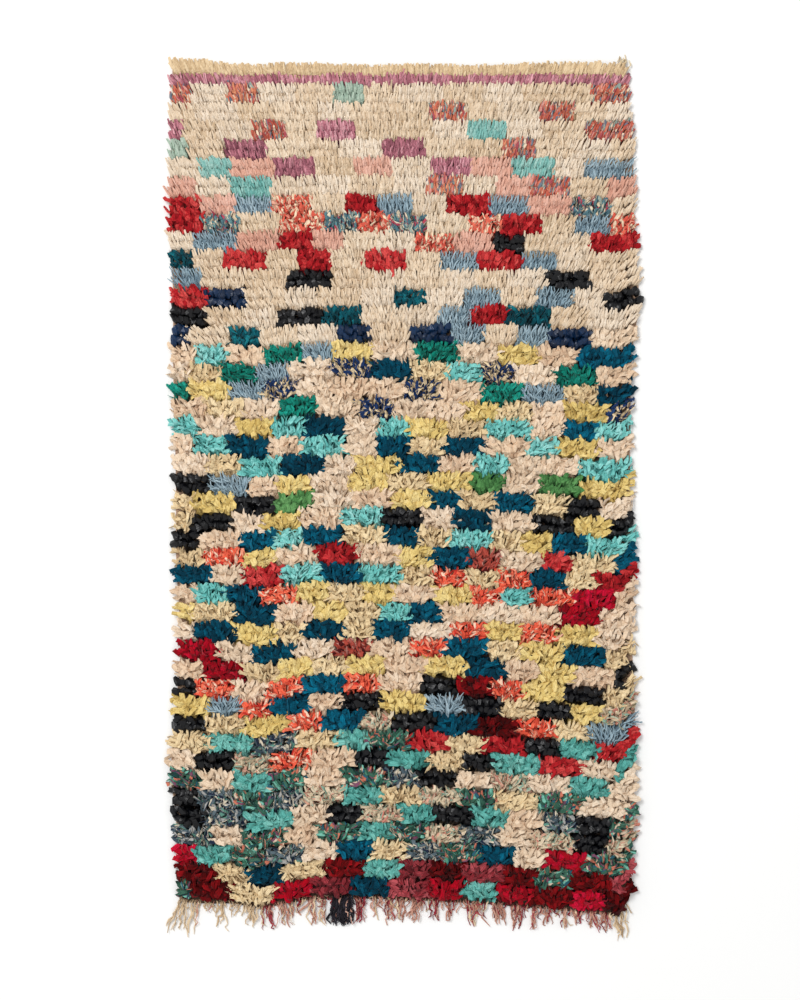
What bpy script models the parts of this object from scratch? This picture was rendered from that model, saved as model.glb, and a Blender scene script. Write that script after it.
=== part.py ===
"""Boucherouite rug: a rag-pile carpet lying flat, face up, with a loose warp fringe.

Metres, +Z up.  +Y is the neat upper end, -Y the fringed end and +X the right-hand side.
The origin is on the floor, under the middle of the rug's outer box.

Three pieces:
  rug_body     the woven foundation and its knotted pile, one thick flat solid
  warp_fringe  the warp ends left loose at the lower end, one uneven comb
  corner_ends  three short warp ends that stand out at the upper right corner
"""

import math
from collections import namedtuple

import bmesh
import bpy

# ---- driving dimensions, in metres ------------------------------------------------

PILE_LENGTH = 2.225  # from the upper to the lower reference line of the pile
COURSES = 45  # bands of coloured blocks, each two knot rows deep
CELLS_ACROSS = 20  # grid cells over the width, the narrow shoulder cells included
SHOULDER = 0.022  # how far in from an edge the pile has nearly its full height
SHOULDER_SHARE = 0.88  # share of the full height that is reached there
EDGE_HEIGHT = 0.008  # height of the foundation and the rags over it at the very edge
RIDGE = 0.0022  # a course's crest stands this much over the mean, its valley under it
RIDGE_OUT = 0.0035  # the crests also reach this much further out at both sides
BLOCK_WIDTH = 0.105  # usual width of one coloured block
BLOCK_SWELL = 0.0018  # the middle of a block stands this much over its ends
COURSE_WAVE = 0.007  # the courses drift this much off a straight line
WAVES_ACROSS = 1.4  # drift waves over the width

YARN_THICKNESS = 0.004  # loose warp ends, lying on the floor
HEADER_DEPTH = 0.006  # strip that joins the teeth of a comb
TIP_SHARE = 0.45  # width of a tooth at its tip, as a share of its root
GAP = 0.0003  # clearance between neighbouring pieces

# Half widths of the pile to the left and right of the centre line, down its length.
SideStation = namedtuple("SideStation", "from_top left right")
SIDES = (
    SideStation(0.00, 0.622, 0.592),
    SideStation(0.04, 0.630, 0.600),
    SideStation(0.18, 0.631, 0.618),
    SideStation(0.37, 0.637, 0.620),
    SideStation(0.55, 0.629, 0.630),
    SideStation(0.63, 0.626, 0.637),
    SideStation(0.75, 0.627, 0.613),
    SideStation(1.15, 0.619, 0.609),
    SideStation(1.33, 0.619, 0.619),
    SideStation(1.56, 0.606, 0.616),
    SideStation(1.75, 0.618, 0.624),
    SideStation(1.91, 0.634, 0.621),
    SideStation(2.08, 0.616, 0.619),
    SideStation(2.22, 0.608, 0.592),
)

# How far the pile stands past its two reference lines, across its width.
EndStation = namedtuple("EndStation", "across upper lower")
ENDS = (
    EndStation(-0.62, 0.016, 0.000),
    EndStation(-0.55, 0.014, 0.014),
    EndStation(-0.48, 0.002, 0.004),
    EndStation(-0.40, -0.004, 0.025),
    EndStation(-0.31, 0.003, 0.010),
    EndStation(-0.24, 0.000, -0.003),
    EndStation(-0.08, -0.006, -0.003),
    EndStation(0.05, 0.000, 0.002),
    EndStation(0.17, -0.007, 0.008),
    EndStation(0.38, 0.003, 0.023),
    EndStation(0.50, 0.005, 0.036),
    EndStation(0.59, 0.000, 0.046),
)

# Mean height of the pile: combed flat at the upper end, deep and shaggy at the lower.
PileStation = namedtuple("PileStation", "from_top height")
PILE = (
    PileStation(0.00, 0.016),
    PileStation(0.45, 0.018),
    PileStation(0.90, 0.023),
    PileStation(1.50, 0.027),
    PileStation(2.22, 0.030),
)

# Bunches of loose warp ends: middle of the root, width there, length and sideways lean.
Tooth = namedtuple("Tooth", "across width length lean")
FRINGE_TEETH = (
    Tooth(-0.584, 0.018, 0.072, -0.018),
    Tooth(-0.560, 0.014, 0.070, 0.006),
    Tooth(-0.487, 0.012, 0.062, 0.003),
    Tooth(-0.412, 0.018, 0.042, 0.014),
    Tooth(-0.372, 0.014, 0.048, 0.010),
    Tooth(-0.326, 0.030, 0.046, 0.016),
    Tooth(-0.250, 0.022, 0.056, 0.008),
    Tooth(-0.218, 0.014, 0.054, 0.006),
    Tooth(-0.170, 0.042, 0.056, 0.006),
    Tooth(-0.118, 0.030, 0.058, 0.002),
    Tooth(-0.078, 0.012, 0.042, 0.000),
    Tooth(-0.045, 0.024, 0.054, 0.000),
    Tooth(-0.006, 0.016, 0.052, -0.010),
    Tooth(0.044, 0.030, 0.046, -0.018),
    Tooth(0.090, 0.020, 0.046, -0.008),
    Tooth(0.126, 0.016, 0.046, 0.000),
    Tooth(0.175, 0.034, 0.050, 0.010),
    Tooth(0.240, 0.030, 0.042, 0.016),
    Tooth(0.298, 0.030, 0.048, 0.000),
    Tooth(0.346, 0.024, 0.044, -0.004),
    Tooth(0.384, 0.016, 0.034, -0.004),
    Tooth(0.422, 0.024, 0.042, 0.006),
    Tooth(0.454, 0.014, 0.024, -0.002),
    Tooth(0.492, 0.014, 0.038, 0.008),
    Tooth(0.524, 0.020, 0.036, 0.006),
    Tooth(0.562, 0.008, 0.050, -0.004),
    Tooth(0.580, 0.008, 0.048, 0.004),
)
CORNER_TEETH = (
    Tooth(0.556, 0.009, 0.007, 0.002),
    Tooth(0.569, 0.009, 0.016, 0.004),
    Tooth(0.582, 0.007, 0.019, 0.006),
)

# ---- the rug's outline and surface ------------------------------------------------

ROWS = 2 * COURSES


def read_table(table, column, where):
    """Value of a named column at a position, eased between the rows on either side."""
    if where <= table[0][0]:
        return getattr(table[0], column)
    for before, after in zip(table, table[1:]):
        if where <= after[0]:
            share = (where - before[0]) / (after[0] - before[0])
            ease = share * share * (3 - 2 * share)
            start = getattr(before, column)
            return start + ease * (getattr(after, column) - start)
    return getattr(table[-1], column)


def line_share(line, last, length):
    """Place of a grid line from 0 to 1, with a narrow shoulder cell at either end."""
    if line in (0, last):
        return line / last
    shoulder = SHOULDER / length
    return shoulder + (line - 1) / (last - 2) * (1 - 2 * shoulder)


def crest_sign(row):
    """+1 on the crest of a course and -1 in the valley between two."""
    return 1 if row % 2 else -1


def surface_point(column, row):
    """Place of one grid corner on top of the pile."""
    down = line_share(row, ROWS, PILE_LENGTH)
    from_top = down * PILE_LENGTH
    out = RIDGE_OUT * crest_sign(row)
    left = -read_table(SIDES, "left", from_top) - out
    right = read_table(SIDES, "right", from_top) + out
    across = line_share(column, CELLS_ACROSS, right - left)
    x = left + across * (right - left)

    upper = read_table(ENDS, "upper", x)
    lower = -PILE_LENGTH - read_table(ENDS, "lower", x)
    drift = COURSE_WAVE * math.sin(math.pi * down) * math.sin(math.tau * WAVES_ACROSS * across)
    y = upper + down * (lower - upper) + drift

    if column in (0, CELLS_ACROSS) or row in (0, ROWS):
        return x, y, EDGE_HEIGHT
    mean = read_table(PILE, "height", from_top)
    if column in (1, CELLS_ACROSS - 1) or row in (1, ROWS - 1):
        mean *= SHOULDER_SHARE
    course = row // 2
    swell = BLOCK_SWELL * math.sin(math.tau * x / BLOCK_WIDTH + math.pi * course)
    return x, y, mean + RIDGE * crest_sign(row) + swell


def edge_line(row):
    """Corners of the rug's outline along its first or last grid row, left to right."""
    return [surface_point(column, row)[:2] for column in range(CELLS_ACROSS + 1)]


def height_on_line(line, x):
    """The y of a line of corners at a given x."""
    for (x0, y0), (x1, y1) in zip(line, line[1:]):
        if x <= x1:
            return y0 + (x - x0) / (x1 - x0) * (y1 - y0)
    return line[-1][1]


# ---- helpers ----------------------------------------------------------------------


def clear_scene():
    """Remove whatever the file holds before the model is made."""
    for item in list(bpy.data.objects):
        bpy.data.objects.remove(item, do_unlink=True)


def make_material(name, colour, roughness):
    """A plain cloth finish."""
    material = bpy.data.materials.new(name)
    material.use_nodes = True
    shader = material.node_tree.nodes["Principled BSDF"]
    shader.inputs["Base Color"].default_value = (*colour, 1.0)
    shader.inputs["Roughness"].default_value = roughness
    shader.inputs["Metallic"].default_value = 0.0
    return material


def add_object(name, data, material, collection, parent):
    """Put a piece in the rug's collection, under its parent."""
    data.materials.append(material)
    piece = bpy.data.objects.new(name, data)
    piece.parent = parent
    collection.objects.link(piece)
    return piece


# ---- pieces -----------------------------------------------------------------------


def make_body_mesh():
    """The pile surface as a shaped grid, closed down to one flat underside."""
    sheet = bmesh.new()
    bmesh.ops.create_grid(sheet, x_segments=CELLS_ACROSS, y_segments=ROWS, size=0.5)
    for corner in sheet.verts:
        column = round((corner.co.x + 0.5) * CELLS_ACROSS)
        row = round((0.5 - corner.co.y) * ROWS)
        corner.co = surface_point(column, row)

    extruded = bmesh.ops.extrude_face_region(sheet, geom=sheet.faces[:])["geom"]
    for item in extruded:
        if isinstance(item, bmesh.types.BMVert):
            item.co.z = 0.0
    underside = [item for item in extruded if isinstance(item, bmesh.types.BMFace)]
    bmesh.ops.dissolve_faces(sheet, faces=underside)
    bmesh.ops.recalc_face_normals(sheet, faces=sheet.faces[:])

    mesh = bpy.data.meshes.new("rug_body")
    sheet.to_mesh(mesh)
    sheet.free()
    return mesh


def comb_outline(edge, teeth, direction):
    """Outline of a comb that follows an edge line, its teeth on the side of direction."""
    first = teeth[0].across - teeth[0].width
    last = teeth[-1].across + teeth[-1].width
    inner = [first] + [x for x, _ in edge if first < x < last] + [last]
    outline = [(x, height_on_line(edge, x) + direction * GAP) for x in inner]
    outline.append((last, outline[-1][1] + direction * HEADER_DEPTH))
    for tooth in reversed(teeth):
        root = height_on_line(edge, tooth.across) + direction * (GAP + HEADER_DEPTH)
        tip = root + direction * tooth.length
        half_root = tooth.width / 2
        half_tip = half_root * TIP_SHARE
        outline.append((tooth.across + half_root, root))
        outline.append((tooth.across + tooth.lean + half_tip, tip))
        outline.append((tooth.across + tooth.lean - half_tip, tip))
        outline.append((tooth.across - half_root, root))
    outline.append((first, outline[0][1] + direction * HEADER_DEPTH))
    return outline


def make_comb_curve(name, outline):
    """A flat comb cut from an outline, at the thickness of the warp yarn."""
    curve = bpy.data.curves.new(name, "CURVE")
    curve.dimensions = "2D"
    curve.fill_mode = "BOTH"
    curve.extrude = YARN_THICKNESS / 2
    spline = curve.splines.new("POLY")
    spline.points.add(len(outline) - 1)
    for point, (x, y) in zip(spline.points, outline):
        point.co = (x, y, 0.0, 1.0)
    spline.use_cyclic_u = True
    return curve


def box_middle(pieces):
    """Middle of the pieces' common box on the floor, in their parent's frame."""
    bpy.context.view_layer.update()
    corners = [
        (piece.location.x + corner[0], piece.location.y + corner[1])
        for piece in pieces
        for corner in piece.bound_box
    ]
    middle_x = (min(x for x, _ in corners) + max(x for x, _ in corners)) / 2
    middle_y = (min(y for _, y in corners) + max(y for _, y in corners)) / 2
    return middle_x, middle_y


def main():
    clear_scene()
    collection = bpy.data.collections.new("boucherouite_rug")
    bpy.context.scene.collection.children.link(collection)
    root = bpy.data.objects.new("rug_frame", None)
    collection.objects.link(root)

    pile = make_material("knotted cotton rags", (0.52, 0.38, 0.27), 0.92)
    warp = make_material("mixed warp yarn", (0.42, 0.24, 0.17), 0.9)
    cream = make_material("cream warp yarn", (0.72, 0.58, 0.38), 0.9)

    body = add_object("rug_body", make_body_mesh(), pile, collection, root)

    fringe_outline = comb_outline(edge_line(ROWS), FRINGE_TEETH, direction=-1)
    fringe_curve = make_comb_curve("warp_fringe", fringe_outline)
    fringe = add_object("warp_fringe", fringe_curve, warp, collection, root)
    fringe.location.z = YARN_THICKNESS / 2

    corner_outline = comb_outline(edge_line(0), CORNER_TEETH, direction=1)
    corner_curve = make_comb_curve("corner_ends", corner_outline)
    corner = add_object("corner_ends", corner_curve, cream, collection, root)
    corner.location.z = YARN_THICKNESS / 2

    middle_x, middle_y = box_middle((body, fringe, corner))
    root.location = (-middle_x, -middle_y, 0.0)


main()
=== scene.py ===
"""Looks of a boucherouite rug, built over its CAD solids.

The rug is knotted row by row from torn rags: a knotting plan deals blocks of cloth to every
course, Geometry Nodes turn each knot into two loose strip ends, and every rag cloth becomes
one piece with its own finish.  Metres, +Z up, +Y towards the neat upper end.
"""

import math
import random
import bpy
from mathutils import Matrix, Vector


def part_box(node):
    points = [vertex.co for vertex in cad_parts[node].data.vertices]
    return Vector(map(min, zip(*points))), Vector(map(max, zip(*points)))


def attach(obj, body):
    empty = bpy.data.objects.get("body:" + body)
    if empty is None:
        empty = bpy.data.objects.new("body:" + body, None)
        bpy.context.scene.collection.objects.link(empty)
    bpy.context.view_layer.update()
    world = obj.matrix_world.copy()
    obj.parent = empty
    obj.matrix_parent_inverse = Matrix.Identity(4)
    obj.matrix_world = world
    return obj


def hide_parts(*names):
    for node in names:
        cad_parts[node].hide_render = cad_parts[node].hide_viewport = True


bl_info = {
    "name": "Boucherouite Rug",
    "version": (1, 0, 0),
    "blender": (4, 5, 0),
    "location": "3D View > Sidebar > Rag Rug",
    "description": "Weaves the ground, knots the rag pile and lays the warp fringe of a rug",
    "category": "Object",
}

from collections import defaultdict, namedtuple

import bmesh
import bpy
import numpy as np
from bpy.props import FloatProperty, FloatVectorProperty, IntProperty, PointerProperty
from mathutils import Matrix, Vector
from mathutils.bvhtree import BVHTree

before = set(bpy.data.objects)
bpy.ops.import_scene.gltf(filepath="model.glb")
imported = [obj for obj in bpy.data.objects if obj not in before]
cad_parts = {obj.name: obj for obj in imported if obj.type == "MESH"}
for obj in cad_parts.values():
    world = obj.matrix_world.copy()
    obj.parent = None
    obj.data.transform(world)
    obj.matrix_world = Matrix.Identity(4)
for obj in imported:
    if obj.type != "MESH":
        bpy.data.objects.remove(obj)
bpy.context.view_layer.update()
BODY_LOW, BODY_HIGH = (Vector(corner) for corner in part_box("rug_body"))

# ---- how rags are torn and knotted ------------------------------------------------

# pitch: knot spacing.  width, thick, fold: a strip's section, fold being the depth of its
# lengthwise crease.  tip: width left at its tip.  reach: how far its long end lies over.
# lift: height of its tip, as a share of its arch.  short: share of reach for the other end of
# the knot.  even: how alike their lengths are.  scatter: how far knots stray from their row.
# spread, twist: radians.  wobble, crumple: bends along it and dents in it.  sharp: degrees
# from which a fold is drawn sharp.  sides, points: its mesh.
Form = namedtuple(
    "Form",
    "pitch width thick fold tip reach lift short even scatter spread wobble crumple twist "
    "sharp sides points",
)
FORMS = {
    "combed": Form(
        0.0080, 0.0070, 0.0030, 0.0018, 0.80, 0.034, 0.80, 0.80, 0.88, 0.0045, 0.18, 0.008,
        0.0028, 0.7, 48, 4, 4),
    "petal": Form(
        0.0106, 0.0130, 0.0038, 0.0021, 1.00, 0.028, 0.60, 0.84, 0.80, 0.0085, 0.50, 0.013,
        0.0062, 1.0, 40, 4, 5),
    "curl": Form(
        0.0092, 0.0098, 0.0034, 0.0018, 0.95, 0.027, 0.62, 0.84, 0.78, 0.0085, 0.62, 0.014,
        0.0058, 1.2, 40, 4, 5),
    "puff": Form(
        0.0230, 0.0180, 0.0120, 0.0000, 0.80, 0.024, 0.25, 0.95, 0.85, 0.0050, 0.55, 0.007,
        0.0085, 0.5, 42, 6, 5),
    "wisp": Form(
        0.0074, 0.0046, 0.0026, 0.0006, 0.60, 0.032, 0.70, 0.85, 0.85, 0.0040, 0.30, 0.012,
        0.0020, 0.8, 60, 3, 6),
    "yarn": Form(
        0.0030, 0.0042, 0.0036, 0.0000, 0.60, 0.050, 0.00, 0.80, 0.80, 0.0000, 0.30, 0.024,
        0.0040, 0.8, 80, 3, 12),
}

# What a rag is made of, and the shade painted into it.  shadow: how light the painted shade deep
# in the pile stays.
# root: the share of a strip that the painted shade reaches.  dents: how strongly its crumples
# show.
Finish = namedtuple("Finish", "material roughness sheen coat specular shadow root dents")
FINISHES = {
    # Cotton torn along its weave: dry and dull; the shade painted between its folds stays light.
    "cotton": Finish("torn_cotton", 0.95, 0.04, 0.0, 0.08, 0.82, 0.45, 0.38),
    # Printed cotton: the same dull cloth, its colour broken by flecks of other dyes.
    "print": Finish("printed_cotton", 0.95, 0.04, 0.0, 0.08, 0.60, 0.45, 0.45),
    # Cotton jersey, knitted: torn strips roll into soft folds of full, even colour.
    "jersey": Finish("torn_jersey", 0.88, 0.04, 0.0, 0.08, 0.46, 0.50, 0.48),
    # Printed jersey: rolled folds with pale flecks.
    "printed_jersey": Finish("printed_jersey", 0.88, 0.04, 0.0, 0.08, 0.44, 0.50, 0.50),
    # Velour, a cut-pile knit: it drinks the light, with strong painted shade deep in the pile
    # and a faint pale bloom on its folds.
    "velour": Finish("torn_velour", 0.90, 0.10, 0.0, 0.08, 0.35, 0.62, 0.50),
    # Velvet, a cut-pile weave: painted shade makes it nearly black in its folds, with a warm
    # bloom on top.
    "velvet": Finish("torn_velvet", 0.90, 0.06, 0.0, 0.08, 0.20, 0.72, 0.50),
    # Viscose, woven and printed: limp and soft, with many small flecks.
    "viscose": Finish("printed_viscose", 0.85, 0.05, 0.0, 0.10, 0.36, 0.55, 0.50),
    # Nylon lining, plain-woven: smooth lumps with small highlights over black gaps, their black
    # partly rendered and partly painted shade.
    "nylon": Finish("torn_nylon", 0.34, 0.00, 0.10, 0.30, 0.30, 0.50, 0.20),
    # Wool yarn, spun for the warp: fuzzy and dull, twisted into thin curly ends.
    "yarn": Finish("spun_wool_yarn", 0.95, 0.06, 0.0, 0.08, 0.60, 0.45, 0.30),
}

# A rag cloth: its finish and form, its sRGB colours from deep to light, the flecks of its print
# and how much of it they take.
# The deep colour also gives the painted shade deep in the pile and in the wrinkles.
Cloth = namedtuple("Cloth", "finish form deep main light flecks print", defaults=((), 0.0))
CLOTHS = {
    "edge": Cloth("cotton", "combed", "#a5855f", "#dabf98", "#e7d1ae"),
    "sand": Cloth("cotton", "combed", "#bda07c", "#dfc9ae", "#ecdcc6"),
    "cream": Cloth("cotton", "combed", "#c3aa8b", "#e3d1bb", "#eddfcd"),
    "blush": Cloth("cotton", "combed", "#bc8470", "#daa893", "#e5bcac"),
    "plum": Cloth("jersey", "combed", "#48182d", "#bc7783", "#f4bfc5"),
    "mint": Cloth("jersey", "combed", "#7c9889", "#a9bcaa", "#bac5b7"),
    "lagoon": Cloth("jersey", "combed", "#3e8882", "#86bbb2", "#aecbc1"),
    "scarlet": Cloth("jersey", "petal", "#48080e", "#b51e25", "#e95d58"),
    "denim": Cloth("cotton", "wisp", "#5e7889", "#95abb5", "#aebfc6"),
    "navy": Cloth("nylon", "puff", "#020e1e", "#051f3d", "#0d365f"),
    "teal": Cloth("velour", "curl", "#011b21", "#064f5c", "#228d98"),
    "black": Cloth("nylon", "puff", "#010103", "#040408", "#070910"),
    "coral_print": Cloth(
        "print", "combed", "#86362f", "#c4624f", "#e6a67c",
        ("#8fa097", "#e6cfb4", "#d07c66", "#d99488", "#6d7884", "#a8505a"), 0.66),
    "speckle": Cloth(
        "print", "curl", "#a84238", "#db5f4d", "#e97c62",
        ("#edd6b6", "#e2a790", "#edd6b6"), 0.46),
    "ink_print": Cloth(
        "print", "curl", "#344c5e", "#567880", "#7daeae",
        ("#e3d4ba", "#9aa79c", "#b9485a", "#d9c4a4"), 0.52),
    "tan": Cloth("cotton", "curl", "#b49a77", "#e4cb9f", "#edd9b1"),
    "ivory": Cloth("cotton", "petal", "#ba9e82", "#e7d0b5", "#edddca"),
    "peach": Cloth("cotton", "petal", "#bb997d", "#e3c8aa", "#ecd9c3"),
    "yellow": Cloth("jersey", "petal", "#ac8b43", "#e5cb81", "#edd89a"),
    "petrol": Cloth("jersey", "petal", "#001520", "#014055", "#067493"),
    "aqua": Cloth("jersey", "curl", "#2f8f8c", "#80cdc6", "#aaded9"),
    "emerald": Cloth("velour", "curl", "#01302b", "#067463", "#23a692"),
    "night_print": Cloth(
        "print", "curl", "#12223e", "#1f335d", "#2c4672", ("#e2cca6", "#c9b28c"), 0.44),
    "grass": Cloth("jersey", "petal", "#224c26", "#538a4e", "#76aa6b"),
    "coral": Cloth(
        "printed_jersey", "curl", "#b13226", "#ee6348", "#f78564",
        ("#f0cdb2", "#c9342c", "#ee9a7c"), 0.42),
    "brick": Cloth(
        "printed_jersey", "petal", "#40110d", "#a84437", "#b9594d",
        ("#4a1416", "#c08478"), 0.34),
    "turquoise": Cloth("jersey", "petal", "#17574f", "#5faea4", "#90cdc2"),
    "green_print": Cloth(
        "viscose", "petal", "#1e3f36", "#37604f", "#577969",
        ("#77b9a6", "#2a5a6a", "#c4725c", "#1f3d3a", "#d0bba4", "#4f8f77", "#7a4a62"),
        0.58),
    "grey_print": Cloth(
        "print", "curl", "#29343d", "#4d5d66", "#6f7e84",
        ("#d4c8b2", "#a9a8a4", "#20283e", "#5f8f80"), 0.58),
    "faded_print": Cloth(
        "print", "curl", "#86765c", "#cfbd9f", "#e0d1b7",
        ("#b4bda8", "#d8a48e", "#c77f70", "#e8d2b6", "#86a694"), 0.50),
    "crimson": Cloth("velour", "petal", "#2c0006", "#b0011a", "#dc1242"),
    "maroon": Cloth("velvet", "petal", "#140000", "#550204", "#a01018"),
    "rose": Cloth("velour", "petal", "#230509", "#8f2b33", "#cc6268"),
    "warp_beige": Cloth("yarn", "yarn", "#a78763", "#dcc3a0", "#ecd9bd"),
    "warp_brown": Cloth("yarn", "yarn", "#8a5145", "#c6937f", "#e0b9a6"),
    "warp_black": Cloth("yarn", "yarn", "#141216", "#252228", "#3b3740"),
    "warp_red": Cloth("yarn", "yarn", "#5a1218", "#93303a", "#b65a5e"),
    "corner_cream": Cloth("yarn", "yarn", "#b8a07c", "#dccaa8", "#e9dbbe"),
}

# Warp colours from left to right: the x where each band ends and the weights of its yarns.
WARP_BANDS = (
    (-0.376, {"warp_beige": 9, "warp_brown": 1}),
    (-0.350, {"warp_red": 6, "warp_brown": 4}),
    (-0.193, {"warp_brown": 5, "warp_beige": 3, "warp_red": 2}),
    (-0.140, {"warp_black": 9, "warp_brown": 1}),
    (-0.092, {"warp_red": 7, "warp_brown": 3}),
    (0.455, {"warp_brown": 6, "warp_red": 2.4, "warp_beige": 1.6}),
    (0.545, {"warp_brown": 5, "warp_red": 4}),
    (0.700, {"warp_beige": 1}),
)

BLACK_TASSEL = (-0.192, -0.141, 0.062)  # from x, to x, drop below the edge

# ---- the knotting plan ------------------------------------------------------------

COURSES_ROWS = 2  # knot rows in a course of blocks
EDGE_ROWS = ("edge", "plum")
BAND_EXTRA = 0.008  # strips of the coloured band are left this much longer
EDGE_BREADTH = 1.35  # strips of the edge row are this much wider and close its rim

# From the upper end down: how many courses, the ground cloths and the accent cloths with
# their weights, the accents' share, and how strictly the strips are combed upwards.
Zone = namedtuple("Zone", "courses grounds accents share comb")
PLAN = (
    Zone(1, {"sand": 9, "cream": 1}, {"coral_print": 1}, 0.10, 1.0),
    Zone(1, {"sand": 8, "cream": 1}, {"coral_print": 1}, 0.06, 1.0),
    Zone(2, {"sand": 5, "cream": 3},
         {"coral_print": 5, "plum": 3, "mint": 0.5, "lagoon": 1.6}, 0.36, 1.0),
    Zone(1, {"sand": 4, "blush": 2.5, "cream": 2.5},
         {"plum": 1.5, "lagoon": 1.5, "denim": 1.2, "coral_print": 2}, 0.28, 1.0),
    Zone(1, {"sand": 4, "blush": 2, "cream": 2},
         {"lagoon": 3, "coral_print": 1.5, "denim": 1.5}, 0.26, 1.0),
    Zone(3, {"sand": 5, "cream": 2, "blush": 2},
         {"denim": 5, "scarlet": 5, "speckle": 3, "ink_print": 2.5}, 0.58, 0.9),
    Zone(1, {"sand": 5, "cream": 2}, {"scarlet": 4, "denim": 3, "black": 1, "teal": 1},
         0.44, 0.9),
    Zone(1, {"sand": 6, "cream": 2}, {"denim": 3, "mint": 0.8, "scarlet": 1, "black": 1},
         0.32, 0.85),
    Zone(2, {"sand": 5, "cream": 3},
         {"denim": 5, "scarlet": 1.5, "teal": 1.2, "navy": 1, "black": 0.6}, 0.42, 0.8),
    Zone(1, {"sand": 3, "ivory": 2, "cream": 1},
         {"navy": 3, "denim": 3, "teal": 1.8, "scarlet": 1}, 0.54, 0.7),
    Zone(4, {"ivory": 4, "peach": 3, "tan": 3},
         {"yellow": 5, "emerald": 3.6, "night_print": 2.6, "petrol": 2, "denim": 2.6,
          "aqua": 2.6}, 0.59, 0.5),
    Zone(3, {"ivory": 4, "peach": 3, "tan": 2}, {"petrol": 5, "aqua": 5, "yellow": 4},
         0.62, 0.45),
    Zone(3, {"ivory": 4, "tan": 3, "peach": 2},
         {"yellow": 4, "black": 3.4, "aqua": 3, "petrol": 3.4, "grass": 1.4, "denim": 0.8,
          "coral": 0.6, "grey_print": 0.4}, 0.70, 0.4),
    Zone(1, {"tan": 3, "peach": 3}, {"aqua": 4, "yellow": 3.5, "petrol": 4, "black": 1},
         0.65, 0.4),
    Zone(4, {"peach": 4, "tan": 4, "ivory": 3},
         {"yellow": 4, "petrol": 5.4, "aqua": 3, "coral": 1.8, "brick": 1.0, "scarlet": 0.4},
         0.64, 0.35),
    Zone(2, {"peach": 4, "tan": 4, "ivory": 3, "faded_print": 1},
         {"petrol": 5.6, "coral": 2.3, "yellow": 1.6, "brick": 1.0, "crimson": 0.3},
         0.62, 0.3),
    Zone(4, {"tan": 4, "peach": 3, "faded_print": 1},
         {"black": 4.4, "yellow": 4.4, "petrol": 2.4, "coral": 2.2, "brick": 1.0,
          "denim": 0.6, "maroon": 0.4}, 0.65, 0.25),
    Zone(3, {"tan": 3, "ivory": 3, "faded_print": 2.5, "peach": 1.5},
         {"turquoise": 5, "black": 3, "green_print": 2, "yellow": 1.4, "coral": 1,
          "scarlet": 0.8, "grey_print": 0.6}, 0.63, 0.2),
    Zone(3, {"ivory": 3, "faded_print": 3, "tan": 2, "peach": 1},
         {"turquoise": 5.4, "green_print": 4.6, "black": 2.2, "grey_print": 2, "yellow": 1.2},
         0.72, 0.15),
    Zone(1, {"ivory": 2, "faded_print": 2, "tan": 1},
         {"crimson": 2, "turquoise": 2, "green_print": 2, "petrol": 1.2, "grey_print": 1},
         0.66, 0.1),
    Zone(2, {"tan": 1},
         {"maroon": 5, "crimson": 2.6, "rose": 2.2, "turquoise": 1.4, "petrol": 1.2,
          "green_print": 0.8, "ivory": 0.5}, 0.95, 0.1),
)
# Blocks that catch the eye: course, place across the width, cloth.
LANDMARKS = (
    (1, 0.18, "coral_print"), (1, 0.37, "mint"), (1, 0.95, "coral_print"), (3, 0.38, "plum"),
    (4, 0.03, "mint"), (4, 0.21, "plum"), (6, 0.22, "lagoon"), (7, 0.60, "scarlet"),
    (8, 0.03, "scarlet"), (9, 0.72, "black"), (9, 0.96, "scarlet"), (10, 0.28, "scarlet"),
    (10, 0.47, "scarlet"), (11, 0.87, "black"), (12, 0.03, "scarlet"), (12, 0.12, "navy"),
    (12, 0.97, "black"), (14, 0.85, "navy"), (15, 0.20, "emerald"), (16, 0.70, "night_print"),
    (17, 0.22, "night_print"), (23, 0.20, "black"), (23, 0.30, "grass"), (28, 0.90, "crimson"),
    (21, 0.27, "petrol"), (23, 0.62, "petrol"), (25, 0.33, "petrol"), (25, 0.52, "petrol"),
    (29, 0.86, "crimson"), (32, 0.13, "crimson"), (13, 0.68, "scarlet"), (35, 0.72, "maroon"),
    (37, 0.12, "black"), (39, 0.05, "black"), (40, 0.06, "black"), (40, 0.88, "black"),
    (42, 0.76, "crimson"), (42, 0.85, "crimson"), (43, 0.03, "maroon"), (43, 0.20, "petrol"),
    (43, 0.58, "maroon"), (43, 0.96, "rose"), (44, 0.03, "maroon"), (44, 0.96, "maroon"),
)

COURSES = sum(zone.courses for zone in PLAN)
ROWS = len(EDGE_ROWS) + COURSES_ROWS * COURSES
ROW_PITCH = (BODY_HIGH.y - BODY_LOW.y) / ROWS

# ---- sizes in metres, and shares --------------------------------------------------

INSET_SIDE = 0.008  # roots of the outermost knots, in from the outline of the pile
INSET_UPPER = 0.006
INSET_LOWER = 0.014
GROUND_THICK = 0.003
GROUND_SIDE = 0.011  # the woven ground, in from the same outline
GROUND_UPPER = 0.014
GROUND_LOWER = 0.004
ROOT_HEIGHT = 0.002
KNOT_WIDEST = 0.024  # no knot is wider
KNOT_BREADTH = 1.9  # width of a knot, as a share of the knot spacing
KNOT_DEPTH = 1.5  # and along the rug, as a share of the row spacing
KNOT_RISE = 0.82  # height of a knot, as a share of its strips' rise
PILE_ARCH = 1.4  # how high a strip's curve aims, as a share of its rise
YARN_ARCH = 1.0
LOWEST_CLOTH = 0.0008  # heights that cloth and the middle line of a strip keep above
LOWEST_MIDDLE = 0.0028
LOOK_HEIGHT = 0.004  # height at which the outline of the CAD body is read
LOOK_SIDES = (90, 0.08, 0.04)  # places looked at down a side, lower and upper margin
LOOK_ENDS = (50, 0.04)  # places looked at along an end, margin
RAISED_PLACES = 6  # places of the upper end that belong to its raised corner


def hex_linear(text):
    """Linear RGBA of an sRGB hex colour."""
    parts = [int(text[i : i + 2], 16) / 255 for i in (1, 3, 5)]
    linear = [p / 12.92 if p <= 0.04045 else ((p + 0.055) / 1.055) ** 2.4 for p in parts]
    return (*linear, 1.0)


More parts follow.
